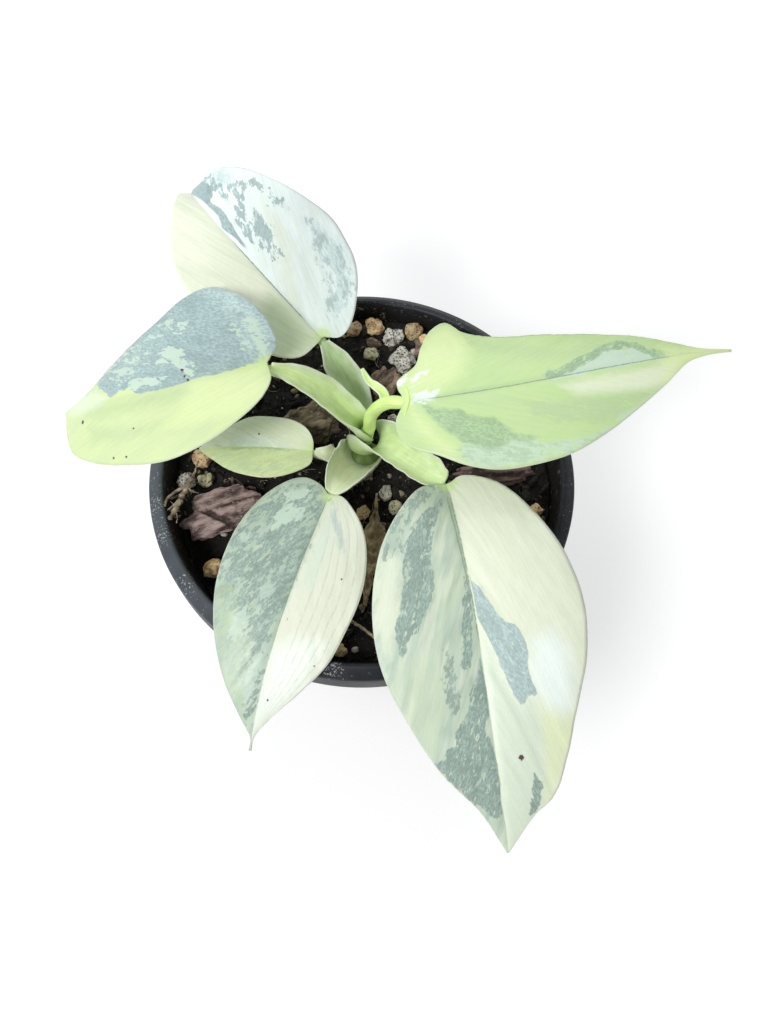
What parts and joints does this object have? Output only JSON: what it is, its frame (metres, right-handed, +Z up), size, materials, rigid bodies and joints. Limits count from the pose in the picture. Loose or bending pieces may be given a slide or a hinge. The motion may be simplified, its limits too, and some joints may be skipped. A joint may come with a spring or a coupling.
{
  "type": "potted variegated philodendron",
  "caption": "Young variegated philodendron with broad pointed leaves on sheathed stalks, growing in a small round nursery pot of chunky potting mix.",
  "frame": {"origin": "centre of the underside of the pot, on the surface that it stands on", "axes": "+Z up, -Y the front that the two largest hanging leaves point to, +X the way the young leaf points"},
  "size_m": [0.1633, 0.1655, 0.1209],
  "materials": {
    "bark_corner": "matte",
    "bark_crumb": "matte",
    "bark_crumb_front": "matte",
    "bark_dark": "matte",
    "bark_long": "matte",
    "bark_lump": "matte",
    "bark_ridged": "matte",
    "dried_leaf": "matte",
    "leaf_back_left": "satin",
    "leaf_front_left": "satin",
    "leaf_front_right": "satin",
    "leaf_left": "satin",
    "leaf_small_left": "satin",
    "leaf_young_right": "satin",
    "pot": "satin",
    "pumice_olive_back": "matte",
    "pumice_olive_front": "matte",
    "pumice_olive_left": "matte",
    "pumice_olive_mid": "matte",
    "pumice_tan_back": "matte",
    "pumice_tan_back_left": "matte",
    "pumice_tan_back_right": "matte",
    "pumice_tan_front": "matte",
    "pumice_tan_front_left": "matte",
    "pumice_tan_left": "matte",
    "pumice_tan_right": "matte",
    "pumice_tan_stem": "matte",
    "pumice_white_back": "matte",
    "pumice_white_big": "matte",
    "pumice_white_left": "matte",
    "pumice_white_small": "matte",
    "pumice_white_stem": "matte",
    "soil": "matte",
    "stem": "satin",
    "straw": "matte",
    "twig_root": "matte",
    "twig_thin": "matte"
  },
  "bodies": {
    "root": {"bark_corner": "bark_corner", "bark_crumb": "bark_crumb", "bark_crumb_front": "bark_crumb_front", "bark_dark": "bark_dark", "bark_long": "bark_long", "bark_lump": "bark_lump", "bark_ridged": "bark_ridged", "dried_leaf": "dried_leaf", "leaf_back_left": "leaf_back_left", "leaf_front_left": "leaf_front_left", "leaf_front_right": "leaf_front_right", "leaf_left": "leaf_left", "leaf_small_left": "leaf_small_left", "leaf_young_right": "leaf_young_right", "pot": "pot", "pumice_olive_back": "pumice_olive_back", "pumice_olive_front": "pumice_olive_front", "pumice_olive_left": "pumice_olive_left", "pumice_olive_mid": "pumice_olive_mid", "pumice_tan_back": "pumice_tan_back", "pumice_tan_back_left": "pumice_tan_back_left", "pumice_tan_back_right": "pumice_tan_back_right", "pumice_tan_front": "pumice_tan_front", "pumice_tan_front_left": "pumice_tan_front_left", "pumice_tan_left": "pumice_tan_left", "pumice_tan_right": "pumice_tan_right", "pumice_tan_stem": "pumice_tan_stem", "pumice_white_back": "pumice_white_back", "pumice_white_big": "pumice_white_big", "pumice_white_left": "pumice_white_left", "pumice_white_small": "pumice_white_small", "pumice_white_stem": "pumice_white_stem", "soil": "soil", "stem": "stem", "straw": "straw", "twig_root": "twig_root", "twig_thin": "twig_thin"}
  },
  "joints": []
}
